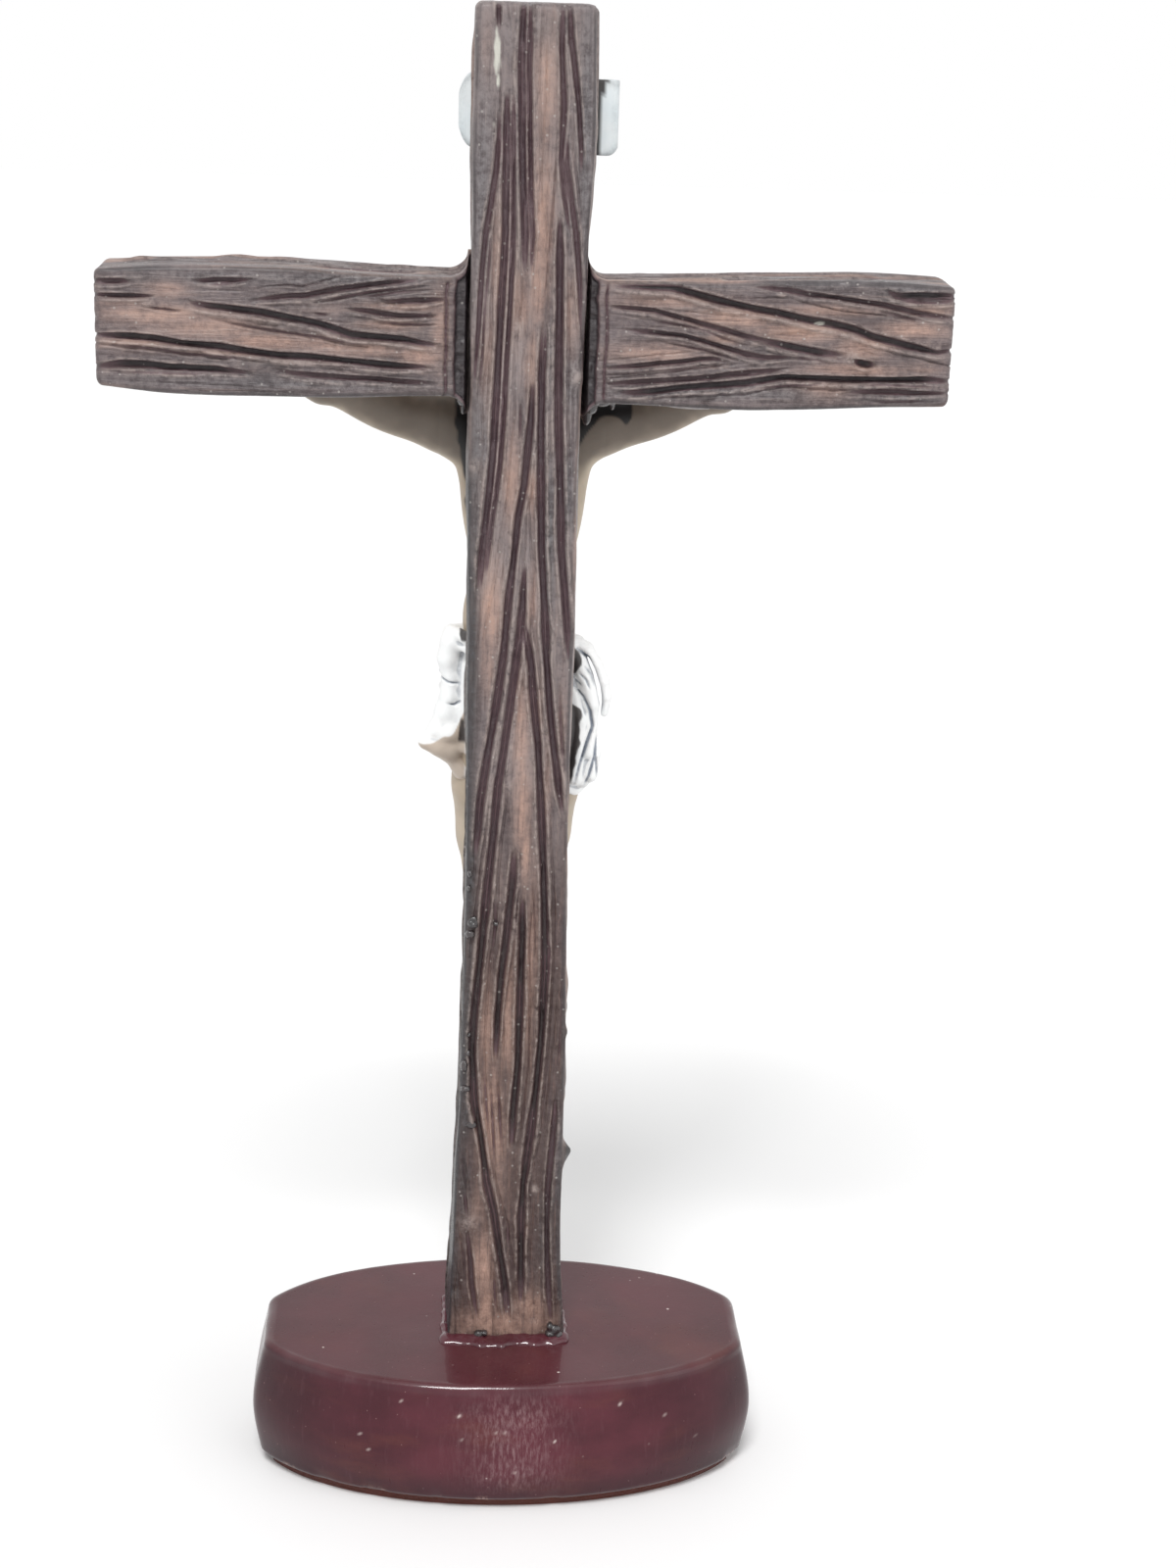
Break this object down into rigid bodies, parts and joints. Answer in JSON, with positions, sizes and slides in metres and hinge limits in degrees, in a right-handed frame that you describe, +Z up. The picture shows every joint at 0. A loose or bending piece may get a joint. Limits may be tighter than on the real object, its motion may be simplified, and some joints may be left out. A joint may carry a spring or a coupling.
{
  "type": "standing crucifix",
  "caption": "Standing crucifix: rough-hewn wood-look cross lapped and tenoned into a glossy oval plinth, with a cast figure nailed to the front, a bare scroll and a felt pad.",
  "frame": {"origin": "centre of the pad's underside, where the object rests on the table", "axes": "+Z up along the upright; the figure faces -Y; the figure's left hand lies towards +X"},
  "size_m": [0.1378, 0.0555, 0.255],
  "materials": {
    "plinth_paint": "glossy dark-red paint on cast resin",
    "pad_felt": "thin reddish-brown felt",
    "steel": "plain zinc-plated steel",
    "timber_paint": "cast resin painted as rough timber, dark wash in the grain, satin",
    "scroll_paint": "white paint on cast resin, bare of lettering",
    "nail_metal": "dark iron",
    "skin_paint": "cream paint on cast resin, satin",
    "hair_paint": "dark brown paint on cast resin",
    "crown_paint": "dark brown-green paint on cast resin",
    "cloth_paint": "white paint with grey-blue lines in the folds"
  },
  "bodies": {
    "root": {"base_plinth": "plinth_paint", "base_pad": "pad_felt", "base_screw": "steel", "base_washer": "steel", "upright": "timber_paint", "crossbeam": "timber_paint", "titulus_scroll": "scroll_paint", "titulus_pins": "nail_metal", "corpus_body": "skin_paint", "corpus_arm_left": "skin_paint", "corpus_arm_right": "skin_paint", "corpus_head": "skin_paint", "corpus_hair": "hair_paint", "crown_of_thorns": "crown_paint", "loincloth": "cloth_paint", "corpus_peg": "steel", "hand_nail_left": "nail_metal", "hand_nail_right": "nail_metal", "foot_nail": "nail_metal"}
  },
  "joints": []
}
